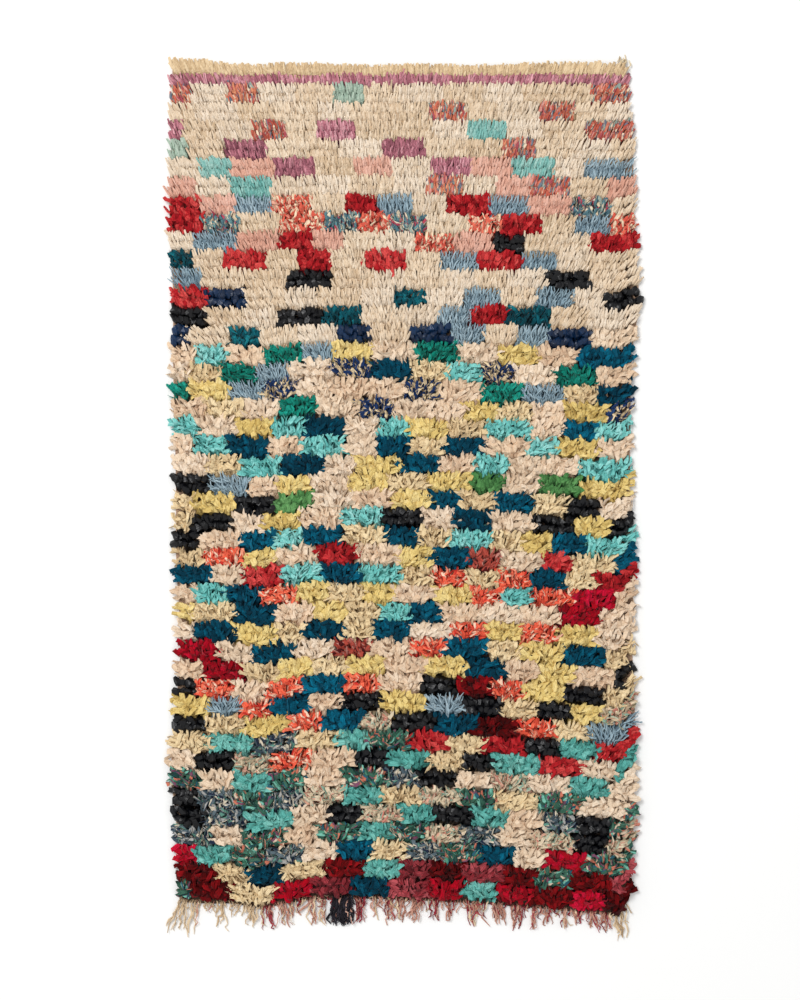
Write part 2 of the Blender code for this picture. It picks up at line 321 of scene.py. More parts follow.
def dyed(text, cloth, dye):
    """One tone of a cloth, changed by as much as its dye differs from the usual one."""
    tones = zip(hex_linear(text), hex_linear(cloth.main), dye)
    return [tone * now / max(usual, 0.0001) for tone, usual, now in tones] + [1.0]


def lerp(start, end, share):
    """The value at a share of the way from start to end."""
    return start + (end - start) * share


def ray_tree(node):
    """Tree of a CAD node's faces, for casting rays."""
    corners = [corner.co.copy() for corner in node.data.vertices]
    return BVHTree.FromPolygons(corners, [tuple(face.vertices) for face in node.data.polygons])


class RugForm:
    """Outline and pile height of the rug, read from the CAD body."""

    def __init__(self, node):
        self.tree = ray_tree(node)
        far = 2 * BODY_HIGH.y
        count, low, high = LOOK_SIDES
        self.down = np.linspace(BODY_LOW.y + low, BODY_HIGH.y - high, count)
        count, margin = LOOK_ENDS
        self.along = np.linspace(BODY_LOW.x + margin, BODY_HIGH.x - margin, count)
        self.left = self.smooth([self.hit((-far, y), (1, 0)).x for y in self.down])
        self.right = self.smooth([self.hit((far, y), (-1, 0)).x for y in self.down])
        self.upper = [self.hit((x, far), (0, -1)).y for x in self.along]
        self.lower = [self.hit((x, -far), (0, 1)).y for x in self.along]
        plain = slice(RAISED_PLACES, None)
        straight = np.polyfit(self.along[plain], self.upper[plain], 1)
        self.hem = np.polyval(straight, self.along)

    @staticmethod
    def smooth(values):
        """Even out the ripple of the courses along a side."""
        padded = np.pad(values, 2, mode="edge")
        return np.convolve(padded, np.ones(5) / 5, mode="valid")

    def hit(self, start, heading):
        """Where a level ray meets the outline."""
        origin = Vector((*start, LOOK_HEIGHT))
        return self.tree.ray_cast(origin, Vector((*heading, 0.0)))[0]

    def side(self, which, y):
        """x of the left or right side at y."""
        return float(np.interp(y, self.down, which))

    def end(self, which, x):
        """y of the upper end, its straight hem or the lower end at x."""
        return float(np.interp(x, self.along, which))

    def place(self, across, down):
        """Point at a share of the width and a share of the length, from the upper left."""
        y = lerp(BODY_HIGH.y, BODY_LOW.y, down)
        left = self.side(self.left, y) + INSET_SIDE
        right = self.side(self.right, y) - INSET_SIDE
        x = lerp(left, right, across)
        upper = self.end(self.hem, x) - INSET_UPPER
        lower = self.end(self.lower, x) + INSET_LOWER
        return x, lerp(upper, lower, down)

    def height(self, x, y):
        """Pile height over a point."""
        found = self.tree.ray_cast(Vector((x, y, 1.0)), Vector((0, 0, -1)))[0]
        return found.z if found else LOOK_HEIGHT


RUG = RugForm(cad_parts["rug_body"])

# ---- dealing out the blocks and knots ---------------------------------------------

BLOCK_WIDTHS = (0.82, 1.20)  # least and most, as shares of the usual width
FIRST_WIDTHS = (0.35, 1.0)  # shares of its width that are left of the first block
LAST_WIDTH = 0.5  # the last block takes up a rest narrower than this share
AFTER_ACCENT = 0.62  # an accent is less likely beside another
AFTER_GROUND = 1.55
OVER_GROUND = 1.30  # and likelier below a ground
OVER_ACCENT = 0.75
ALL_ACCENTS = 0.9  # from this share on neighbours don't count
ACCENTS_APART = 0.82  # how often a cloth avoids its like beside and above
GROUNDS_APART = 0.7
OVERLAP = 0.02  # share of the width from which blocks count as one above the other

Block = namedtuple("Block", "first_row cloth left right comb dye lean")
Tuft = namedtuple("Tuft", "x y heading width reach rise shade dye chance knot")


def pick(chance, weights, avoid=()):
    """Choose a cloth by weight, one that isn't in avoid if there is such a one."""
    names = [name for name in weights if name not in avoid] or list(weights)
    return chance.choices(names, [weights[name] for name in names])[0]


def cloths_over(course, left, right):
    """Cloths of a course's blocks that overlap a stretch of the width."""
    return [b.cloth for b in course if min(b.right, right) - max(b.left, left) > OVERLAP]


def deal_course(zone, above, first_row, block_share, chance):
    """Blocks of one course, in brick bond with the course above."""
    course = []
    left = 0.0
    was_accent = chance.random() < 0.5
    while left < 1.0:
        width = block_share * chance.uniform(*BLOCK_WIDTHS)
        right = left + (width * chance.uniform(*FIRST_WIDTHS) if left == 0.0 else width)
        if 1.0 - right < LAST_WIDTH * block_share:
            right = 1.0
        over = cloths_over(above, left, right)
        under_accent = sum(name in zone.accents for name in over) / max(1, len(over))
        last = course[-1].cloth if course else None
        share = zone.share
        if share < ALL_ACCENTS:
            share *= AFTER_ACCENT if was_accent else AFTER_GROUND
            share *= lerp(OVER_GROUND, OVER_ACCENT, under_accent)
        was_accent = chance.random() < share
        if was_accent:
            avoid = [last, *over] if chance.random() < ACCENTS_APART else [last]
            cloth = pick(chance, zone.accents, avoid)
        else:
            avoid = [last] if chance.random() < GROUNDS_APART else []
            cloth = pick(chance, zone.grounds, avoid)
        dye, lean = chance.random(), chance.random()
        course.append(Block(first_row, cloth, left, right, zone.comb, dye, lean))
        left = right
    return course


def set_landmarks(course, number, ground):
    """Give the blocks at the landmarks of a course their cloth, and keep it off their sides."""
    for at, across, cloth in LANDMARKS:
        if at == number:
            index = next(i for i, b in enumerate(course) if b.right >= across)
            for beside in range(max(0, index - 1), min(len(course), index + 2)):
                if course[beside].cloth == cloth:
                    course[beside] = course[beside]._replace(cloth=ground)
            course[index] = course[index]._replace(cloth=cloth)


def deal_rug(block_width, chance):
    """Every block of the rug, course by course."""
    block_share = block_width / (BODY_HIGH.x - BODY_LOW.x)
    blocks = []
    for row, cloth in enumerate(EDGE_ROWS):
        blocks.append(Block(row, cloth, 0.0, 1.0, 1.0, 0.5, 0.5))
    course = []
    number = 0
    row = len(EDGE_ROWS)
    for zone in PLAN:
        for _ in range(zone.courses):
            course = deal_course(zone, course, row, block_share, chance)
            number += 1
            set_landmarks(course, number, next(iter(zone.grounds)))
            blocks.extend(course)
            row += COURSES_ROWS
    return blocks


# How knots and their strips fall.  loose is 0 where a course is combed flat and 1 where it
# is shaggy.
RAGGED = 0.003  # share of the width by which the rows of a block end unevenly
STRAY = 0.2  # share of the knot spacing by which a knot strays along its row
DRIFT = 0.005  # metres by which the rows drift off a straight line
DRIFT_ACROSS = 7.0  # radians of that drift over the width
DRIFT_DOWN = 0.35  # radians of it from row to row
CLOSING = 0.0025  # metres by which the two rows of a loose course draw together
RIM = 0.025  # share of the width at either side where strips lean outwards
RIM_LEAN = (0.08, 0.60)  # how far they lean there, always and when loose
BARE_RIM = 0.2  # share of the rim, from its inner side, in which knots still have a lump
CROWN = 1.08  # height of the pile at the middle of a block
CROWN_LOSS = 0.26  # and what it loses towards the block's ends
FAN = 0.9  # lean of the combed strips towards the sides of the rug
BLOCK_FAN = 1.0  # lean of loose strips towards the ends of their block
BLOCK_LEAN = 1.3  # lean that the loose strips of a block share
UPRIGHT = (1.0, 0.45)  # how far strips are combed upwards, and what loose ones lose of it
ROWS_APART = 0.50  # how far the two rows of a loose course lean apart
SPREAD = (0.55, 0.75)  # spread of the headings, combed and added when loose
FLIPPED = 0.10  # share of the loose strips that fall the other way
FLIP_TURN = (0.7, 1.3)  # half turns that they take
EDGE_RISE = 0.014  # metres that strips of the edge row rise at least
EDGE_EXTRA = 0.004  # metres that they are longer
EDGE_BULGE = (0.6, 0.7)  # shares of a bulge of the edge taken by knots and by reach
EDGE_CALM = (0.4, 0.3)  # shares of uneven length and scatter that the edge row keeps
BALANCE = 0.45  # share of a strip's reach that lies behind its knot
LOOSE_REACH = 0.15  # share by which loose strips are longer
LOWEST_RISE = (0.90, 0.3)  # least share of the pile height, and what loose strips lose
ENDS_APART = 0.25  # share of the knot spacing between a knot and either strip
GIRTHS = (0.80, 1.20)  # least and most width of a strip, as shares of its usual width


def strip_ends(block, form, row, rows, looseness, chance):
    """The two strip ends of every knot in one row of a block."""
    down = (row + 0.5) / ROWS
    left = max(0.0, block.left + chance.uniform(-RAGGED, RAGGED))
    right = min(1.0, block.right + chance.uniform(-RAGGED, RAGGED))
    span = (right - left) * (BODY_HIGH.x - BODY_LOW.x - 2 * INSET_SIDE)
    knots = max(2, round(span / form.pitch))
    loose = 1 - block.comb
    upper = 1 if row == block.first_row else -1
    on_edge = row == 0
    calm, steady = EDGE_CALM if on_edge else (1.0, 1.0)
    breadth = EDGE_BREADTH if on_edge else 1.0
    spread = looseness * form.spread
    found = []
    for knot in range(knots):
        share = (knot + 0.5 + chance.uniform(-STRAY, STRAY)) / knots
        across = lerp(left, right, share)
        x, y = RUG.place(across, down)
        wave = math.sin(DRIFT_ACROSS * across + DRIFT_DOWN * row)
        y += DRIFT * wave * math.sin(math.pi * down) - CLOSING * loose * upper
        middle = 2 * share - 1
        rim = max(0.0, 1 - min(across, 1 - across) / RIM)
        outwards = 1 if across > 0.5 else -1
        lean_x = FAN * (across - 0.5) + loose * (
            BLOCK_FAN * middle + BLOCK_LEAN * (block.lean - 0.5))
        lean_x += (RIM_LEAN[0] + RIM_LEAN[1] * loose) * rim * outwards
        lean_y = UPRIGHT[0] - UPRIGHT[1] * loose
        lean_y += ROWS_APART * loose * upper if rows > 1 else 0.0
        heading = math.atan2(-lean_x, lean_y)
        tall = (RUG.height(x, y) - ROOT_HEIGHT) * (CROWN - CROWN_LOSS * middle * middle)
        extra = BAND_EXTRA if row == 1 else 0.0
        if on_edge:
            bulge = RUG.end(RUG.upper, x) - RUG.end(RUG.hem, x)
            y += EDGE_BULGE[0] * bulge
            tall = max(tall, EDGE_RISE)
        for end, length in ((-1, 1.0), (1, form.short)):
            turn = heading + spread * chance.gauss(0, SPREAD[0] + SPREAD[1] * loose)
            if chance.random() < FLIPPED * loose or (row >= ROWS - 1 and end > 0):
                turn += math.pi * chance.uniform(*FLIP_TURN)
            reach = form.reach * (1 + LOOSE_REACH * loose) * length + extra
            if on_edge:
                reach = (form.reach + EDGE_EXTRA + EDGE_BULGE[1] * bulge) * length
            reach *= 1 + (1 - form.even) * calm * chance.uniform(-1, 1)
            stray = chance.uniform(-1, 1) * form.scatter * steady
            found.append(Tuft(
                x + end * form.pitch * ENDS_APART + BALANCE * reach * math.sin(turn),
                y + stray - BALANCE * reach * math.cos(turn),
                turn,
                chance.uniform(*GIRTHS) * breadth,
                reach,
                tall * chance.uniform(LOWEST_RISE[0] - LOWEST_RISE[1] * loose, 1.0),
                chance.random(),
                block.dye,
                chance.random(),
                float(end < 0 and rim < BARE_RIM and row < ROWS - 1),
            ))
    return found


def knot_rug(sizes):
    """Strip ends of the whole rug, by cloth."""
    chance = random.Random(sizes.seed)
    tufts = defaultdict(list)
    for block in deal_rug(sizes.block_width, chance):
        rows = 1 if block.first_row < len(EDGE_ROWS) else COURSES_ROWS
        form = FORMS[CLOTHS[block.cloth].form]
        for row in range(block.first_row, block.first_row + rows):
            tufts[block.cloth] += strip_ends(block, form, row, rows, sizes.looseness, chance)
    return tufts


# Warp ends.  Lengths are in metres, girths are shares of a yarn's usual girth.
TOOTH_LEAST = 0.016  # what stands this far past the edge is a tooth
TOOTH_STEP = 0.001  # steps in which teeth are looked for
TOOTH_HEIGHT = 0.002  # the height, and from how far out
TOOTH_FAR = 3.0
TOOTH_RAGGED = 0.003  # yarns of a tooth start this far past its sides
TIP_STRAY = 0.35  # and end astray by this share of its width
YARN_SPACING = 0.0032
YARN_ROOT = 0.014  # how far inside the edge a yarn starts
YARN_RISE = (0.005, 0.012)
YARN_GIRTHS = (0.7, 1.35)
YARN_LENGTHS = (0.70, 1.05, 0.98)  # least, most and usual share of the way to the tip
YARN_TURN = 0.15  # radians
SHORT_SPACING = 0.0058
SHORT_LENGTHS = (0.018, 0.046)
SHORT_STRAY = 0.012
SHORT_MARGIN = 0.05  # short ends keep this far from both sides
SHORT_GIRTH = 0.9
CORNER_SPACING = 0.002
TASSEL_YARNS = 46
TASSEL_ROOT = 0.012
TASSEL_STRAY = 0.008
TASSEL_GIRTH = 1.2


def find_teeth(node, edge, way):
    """Teeth of a comb-like CAD node as (left, right, tip); way is 1 for up, -1 for down."""
    tree = ray_tree(node)
    ends = [corner.co.x for corner in node.data.vertices]
    teeth = []
    run = []
    for x in np.arange(min(ends), max(ends) + 2 * TOOTH_STEP, TOOTH_STEP):
        start = Vector((x, way * TOOTH_FAR, TOOTH_HEIGHT))
        hit = tree.ray_cast(start, Vector((0, -way, 0)))[0]
        if hit and way * (hit.y - RUG.end(edge, x)) > TOOTH_LEAST:
            run.append((float(x), hit.y))
        elif run:
            teeth.append((run[0][0], run[-1][0], max(run, key=lambda spot: way * spot[1])))
            run = []
    return teeth


def yarn(start, tip, girth, chance):
    """One loose yarn lying on the floor from a start to about its tip."""
    way = Vector(tip) - Vector(start)
    way.rotate(Matrix.Rotation(chance.gauss(0, YARN_TURN), 2))
    return Tuft(
        start[0], start[1], math.atan2(-way.x, way.y), girth * chance.uniform(*YARN_GIRTHS),
        way.length * chance.triangular(*YARN_LENGTHS), chance.uniform(*YARN_RISE),
        chance.random(), chance.random(), chance.random(), 0.0)


def tassel_yarns(node, edge, way, spacing, chance):
    """Bundles of yarns over the teeth of a CAD node, each with the x of its root."""
    found = []
    for left, right, (tip_x, tip_y) in find_teeth(node, edge, way):
        width = right - left
        for _ in range(max(3, round(width / spacing))):
            root_x = chance.uniform(left - TOOTH_RAGGED, right + TOOTH_RAGGED)
            root = (root_x, RUG.end(edge, root_x) - way * YARN_ROOT)
            tip = (tip_x + chance.gauss(0, TIP_STRAY * width), tip_y)
            found.append((root_x, yarn(root, tip, 1.0, chance)))
    return found


def tassel(place, count, chance):
    """A thick tassel of warp ends that hangs from one place of the lower end."""
    left, right, drop = place
    found = []
    for _ in range(count):
        x = chance.uniform(left, right)
        root = (x, RUG.end(RUG.lower, x) + TASSEL_ROOT)
        tip = (x + chance.gauss(0, TASSEL_STRAY), RUG.end(RUG.lower, x) - drop)
        found.append((x, yarn(root, tip, TASSEL_GIRTH, chance)))
    return found


def short_yarns(spacing, chance):
    """Frayed short ends all along the lower end."""
    found = []
    span = BODY_HIGH.x - BODY_LOW.x - 2 * SHORT_MARGIN
    for step in range(int(span / spacing)):
        x = BODY_LOW.x + SHORT_MARGIN + (step + chance.random()) * spacing
        root = (x, RUG.end(RUG.lower, x) + YARN_ROOT)
        tip = (x + chance.gauss(0, SHORT_STRAY), root[1] - chance.uniform(*SHORT_LENGTHS))
        found.append((x, yarn(root, tip, SHORT_GIRTH, chance)))
    return found


# ---- node helpers -----------------------------------------------------------------


def add(tree, kind, inputs=None, **settings):
    """Add a node with its settings; each input is given a value or a socket to link."""
    made = tree.nodes.new(kind)
    for name, value in settings.items():
        setattr(made, name, value)
    for key, value in (inputs or {}).items():
        socket = made.inputs[key]
        if isinstance(value, bpy.types.NodeSocket):
            tree.links.new(value, socket)
        else:
            socket.default_value = value
    return made


def split(tree, vector):
    """x, y and z of a vector socket."""
    return add(tree, "ShaderNodeSeparateXYZ", {0: vector}).outputs


def new_tree(name, inputs):
    """A Geometry Nodes tree with a geometry in and out and inputs by kind."""
    tree = bpy.data.node_groups.new(name, "GeometryNodeTree")
    face = tree.interface
    face.new_socket("Geometry", in_out="INPUT", socket_type="NodeSocketGeometry")
    for kind, labels in inputs.items():
        for label in labels:
            face.new_socket(label, in_out="INPUT", socket_type="NodeSocket" + kind)
    face.new_socket("Geometry", in_out="OUTPUT", socket_type="NodeSocketGeometry")
    return tree, add(tree, "NodeGroupInput").outputs


def add_object(name, mesh):
    """A new object in the scene."""
    made = bpy.data.objects.new(name, mesh)
    bpy.context.collection.objects.link(made)
    return made


def plain_mesh(made):
    """The mesh of an object with its modifiers applied."""
    graph = bpy.context.evaluated_depsgraph_get()
    return bpy.data.meshes.new_from_object(made.evaluated_get(graph))


def run_tree(points, tree, values, name):
    """Evaluate a tree on a mesh of points and return the result as a plain object."""
    holder = add_object(name + "_points", points)
    modifier = holder.modifiers.new("knots", "NODES")
    modifier.node_group = tree
    keys = {
        item.name: item.identifier
        for item in tree.interface.items_tree
        if item.in_out == "INPUT"
    }
    for label, value in values.items():
        modifier[keys[label]] = value
    mesh = plain_mesh(holder)
    mesh.name = name
    holder.modifiers.remove(modifier)
    bpy.data.objects.remove(holder)
    bpy.data.meshes.remove(points)
    return add_object(name, mesh)


BENDS = 55.0  # bends of a strip, crumples of its cloth and dents of a knot, per metre
CRUMPLES = 140.0
KNOT_DENTS = 90.0
KNOT_DENT = 0.003
KNOT_SHADE = 20.0  # how fast the painted shade on a knot fades with its height, per metre
ARCH_PLACE = 0.2  # share of its reach at which a strip aims for its greatest height
ROOT_TWIST = 0.4  # twist at the root, which grows by 1 towards the tip
WIDE_FROM = 0.45  # share of its length from which a strip has its full width
ROOT_WIDTH = 0.55  # and its width at the knot, as a share of that
CLOSE_FROM = 0.75  # where it starts to narrow towards its tip
CELL_MARGIN = 0.08  # share of a strip's cell that is left free on every side
KNOT_ROW = -0.04  # place of the knots in the cell, in its margin
STRIP_LENGTH = 0.03  # usual length of a strip, for the pattern along it
STRIPS_APART = (5.0, 9.0)  # steps between strips in the noise and in the patterns


def make_strip_tree():
    """Tree that turns each point into one torn strip, bent over and crumpled."""
    tree, size = new_tree("torn_strips", {
        "Float": (
            "Strip width", "Strip thickness", "Crease depth", "Tip share", "Arch height",
            "Tip height", "Knot width", "Knot length", "Knot height", "Wobble", "Crumple",
            "Twist", "Cell size"),
        "Int": ("Sides", "Points", "Seed"),
        "Material": ("Cloth",),
    })

    def node(kind, inputs=None, **settings):
        """First output of a new node."""
        return add(tree, kind, inputs, **settings).outputs[0]

    def math_node(operation, first, second=0.0, third=0.0):
        """Result of a sum over sockets or numbers."""
        return node("ShaderNodeMath", {0: first, 1: second, 2: third}, operation=operation)

    def times(first, second):
        return math_node("MULTIPLY", first, second)

    def vector(x=0.0, y=0.0, z=0.0):
        return node("ShaderNodeCombineXYZ", {0: x, 1: y, 2: z})

    def attribute(name, kind="FLOAT"):
        return node("GeometryNodeInputNamedAttribute", {"Name": name}, data_type=kind)

    def store(geometry, name, value, kind="FLOAT", domain="POINT"):
        inputs = {"Geometry": geometry, "Name": name, "Value": value}
        return node("GeometryNodeStoreNamedAttribute", inputs, data_type=kind, domain=domain)

    def smooth_range(value, start, end, low, high):
        return node("ShaderNodeMapRange", {0: value, 1: start, 2: end, 3: low, 4: high},
                    interpolation_type="SMOOTHSTEP")

    def move(geometry, **places):
        return node("GeometryNodeSetPosition", {"Geometry": geometry, **places})

    def keep_above(geometry, height):
        """Lift what would lie lower than a height, so that nothing sinks into the floor."""
        x, y, z = split(tree, here)
        return move(geometry, Position=vector(x, y, math_node("MAXIMUM", z, height)))

    here = node("GeometryNodeInputPosition")

    # A unit strip: up out of the knot, over and down towards its tip.
    line = node("GeometryNodeCurveQuadraticBezier", {
        "Resolution": math_node("SUBTRACT", size["Points"], 1.0),
        "Start": (0, 0, 0),
        "Middle": vector(0.0, ARCH_PLACE, size["Arch height"]),
        "End": vector(0.0, 1.0, size["Tip height"]),
    })
    line = store(line, "along", node("GeometryNodeSplineParameter"))
    turn = node("FunctionNodeEulerToRotation", {0: vector(0.0, 0.0, attribute("heading"))})
    strips = node("GeometryNodeInstanceOnPoints", {
        "Points": size["Geometry"],
        "Instance": line,
        "Rotation": turn,
        "Scale": attribute("bulk", "FLOAT_VECTOR"),
    })
    strips = node("GeometryNodeRealizeInstances", {0: strips})

    # Bends along each strip, growing from its root to its tip.
    chance = split(tree, attribute("tone", "FLOAT_VECTOR"))[2]
    away = vector(size["Seed"], 0.0, times(chance, STRIPS_APART[0]))
    apart = node("ShaderNodeVectorMath", {0: here, 1: away}, operation="ADD")

    def bent(scale, amount):
        """Offset by a noise, about an amount at most to either side."""
        noise = add(tree, "ShaderNodeTexNoise", {"Vector": apart, "Scale": scale, "Detail": 1.0})
        centred = node("ShaderNodeVectorMath",
                       {0: noise.outputs["Color"], 1: (0.5, 0.5, 0.5)}, operation="SUBTRACT")
        return node("ShaderNodeVectorMath", {0: centred, "Scale": times(amount, 2.0)},
                    operation="SCALE")

    strips = move(strips, Offset=bent(BENDS, times(size["Wobble"], attribute("along"))))
    strips = keep_above(strips, LOWEST_MIDDLE)
    strips = node("GeometryNodeSetCurveNormal", {0: strips}, mode="Z_UP")
    tilt = times(times(math_node("SUBTRACT", chance, 0.5), 2.0),
                 times(size["Twist"], math_node("ADD", attribute("along"), ROOT_TWIST)))
    strips = node("GeometryNodeSetCurveTilt", {"Curve": strips, "Tilt": tilt})

    # Section: a flat ring of points, its upper side pressed in along the middle.
    ring = node("GeometryNodeCurvePrimitiveCircle",
                {"Resolution": size["Sides"], "Radius": 0.5})
    x, y, _ = split(tree, here)
    ring = store(ring, "across", math_node("ADD", x, 0.5))
    inwards = math_node("SUBTRACT", 1.0, times(math_node("ABSOLUTE", x), 2.0))
    dip = times(times(inwards, size["Crease depth"]), math_node("GREATER_THAN", y, 0.01))
    flat = math_node("SUBTRACT", times(y, size["Strip thickness"]), dip)
    ring = move(ring, Position=vector(times(x, size["Strip width"]), flat))

    # Pinched at the knot, widest past the middle, torn off at the tip.
    across, along = attribute("across"), attribute("along")
    opening = smooth_range(along, 0.0, WIDE_FROM, ROOT_WIDTH, 1.0)
    closing = smooth_range(along, CLOSE_FROM, 1.0, 1.0, size["Tip share"])
    cloth = node("GeometryNodeCurveToMesh", {
        "Curve": strips,
        "Profile Curve": ring,
        "Scale": times(times(opening, closing), attribute("girth")),
        "Fill Caps": True,
    })
    cloth = keep_above(move(cloth, Offset=bent(CRUMPLES, size["Crumple"])), LOWEST_CLOTH)

    # Every strip has its own cell of the cloth's map.
    cell_x, cell_y, _ = split(tree, attribute("cell", "FLOAT_VECTOR"))

    def mapped(start, value):
        inside = math_node("MULTIPLY_ADD", value, 1 - 2 * CELL_MARGIN, CELL_MARGIN)
        return math_node("MULTIPLY_ADD", inside, size["Cell size"], start)

    cloth = store(cloth, "OFBake", vector(mapped(cell_x, across), mapped(cell_y, along)),
                  "FLOAT2", "CORNER")
    strip_place = vector(times(across, size["Strip width"]), times(along, STRIP_LENGTH),
                         times(chance, STRIPS_APART[1]))
    cloth = store(cloth, "strip", strip_place, "FLOAT_VECTOR")

    # The knot itself: a four-sided peak of cloth between the strips, its foot a unit square.
    lump = node("GeometryNodeMeshCone", {
        "Vertices": 4, "Radius Top": 0.0, "Radius Bottom": 0.7071, "Depth": 1.0})
    lump = node("GeometryNodeTransform", {0: lump, "Rotation": (0, 0, math.pi / 4)})
    tall = split(tree, attribute("bulk", "FLOAT_VECTOR"))[2]
    knots = node("GeometryNodeInstanceOnPoints", {
        "Points": size["Geometry"],
        "Selection": math_node("GREATER_THAN", attribute("knot"), 0.5),
        "Instance": lump,
        "Scale": vector(size["Knot width"], size["Knot length"],
                        times(tall, size["Knot height"])),
    })
    knots = node("GeometryNodeRealizeInstances", {0: knots})
    knots = keep_above(move(knots, Offset=bent(KNOT_DENTS, KNOT_DENT)), LOWEST_CLOTH)
    x, y, z = split(tree, here)
    # Painted shade on the knots: low on a knot its colour is darkened, fading out with its
    # height.
    knots = store(knots, "along", times(z, KNOT_SHADE))
    knots = store(knots, "strip", vector(x, y, chance), "FLOAT_VECTOR")
    knots = store(knots, "OFBake", vector(mapped(cell_x, 0.5), mapped(cell_y, KNOT_ROW)),
                  "FLOAT2", "CORNER")
    both = add(tree, "GeometryNodeJoinGeometry", {0: cloth})
    tree.links.new(knots, both.inputs[0])
    cloth = node("GeometryNodeSetShadeSmooth", {"Geometry": both.outputs[0]})
    cloth = node("GeometryNodeRealizeInstances", {0: cloth})
    cloth = node("GeometryNodeSetMaterial", {"Geometry": cloth, "Material": size["Cloth"]})
    add(tree, "NodeGroupOutput", {0: cloth})
    return tree


def strip_tree():
    """The tree of torn strips, built when it is first needed."""
    return bpy.data.node_groups.get("torn_strips") or make_strip_tree()


def point_mesh(name, tufts):
    """Points with the numbers that the strip tree reads."""
    count = len(tufts)
    cells = math.ceil(math.sqrt(count))
    mesh = bpy.data.meshes.new(name)
    mesh.from_pydata([(t.x, t.y, ROOT_HEIGHT) for t in tufts], [], [])
    columns = {
        "heading": ("FLOAT", "value", [t.heading for t in tufts]),
        "girth": ("FLOAT", "value", [t.width for t in tufts]),
        "bulk": ("FLOAT_VECTOR", "vector", [(1.0, t.reach, t.rise) for t in tufts]),
        "tone": ("FLOAT_VECTOR", "vector", [(t.shade, t.dye, t.chance) for t in tufts]),
        "knot": ("FLOAT", "value", [t.knot for t in tufts]),
        "cell": ("FLOAT_VECTOR", "vector",
                 [(i % cells / cells, i // cells / cells, 0.0) for i in range(count)]),
    }
    for label, (kind, field, values) in columns.items():
        attribute = mesh.attributes.new(label, kind, "POINT")
        attribute.data.foreach_set(field, np.ravel(np.array(values, dtype=np.float32)))
    return mesh, 1.0 / cells


# ---- finishes ---------------------------------------------------------------------

# Sizes of the patterns of torn cloth, in metres: across a strip, along it, and from one
# strip to the next.
THREAD = (0.0024, 0.017, 0.025)
FLECK = (0.0067, 0.0133, 0.0167)
WRINKLE = (0.0061, 0.0133, 0.0167)
DENT = 0.0053
DENT_DEPTH = 0.004
THREAD_DEPTH = 0.0015
WEFT_PITCH = 0.0075  # ribs of the ground, drawn coarser than their 3 mm so that they show
WARP_PITCH = 0.012
TINT_SHARES = (0.40, 0.26, 0.45)  # of a strip, its block and its threads in its tone
TONE_STOPS = (0.05, 0.52, 0.98)  # where the deep, main and light tones lie
WRINKLE_EDGES = (0.02, 0.12)  # shares of a wrinkle's size at which it fades out
# How far the painted shade of a wrinkle darkens it.
WRINKLE_SHADE = 0.40
ROOT_SHADE = 0.95  # how far the root of a strip takes its painted shadow colour


def set_stops(ramp, stops):
    """Give a colour ramp its stops: pairs of a place and a linear colour."""
    elements = ramp.color_ramp.elements
    elements.remove(elements[1])
    elements[0].position, elements[0].color = stops[0]
    for place, colour in stops[1:]:
        elements.new(place).color = colour


def new_material(name):
    """A material, its tree and its shader."""
    material = bpy.data.materials.new(name)
    material.use_nodes = True
    return material, material.node_tree, material.node_tree.nodes["Principled BSDF"]


def read(tree, name, output="Fac"):
    """An attribute of the piece."""
    return add(tree, "ShaderNodeAttribute", attribute_name=name).outputs[output]


def blend(tree, share, first, second):
    """The colour at a share of the way from the first to the second."""
    made = add(tree, "ShaderNodeMix", {0: share, 6: first, 7: second}, data_type="RGBA")
    return made.outputs[2]


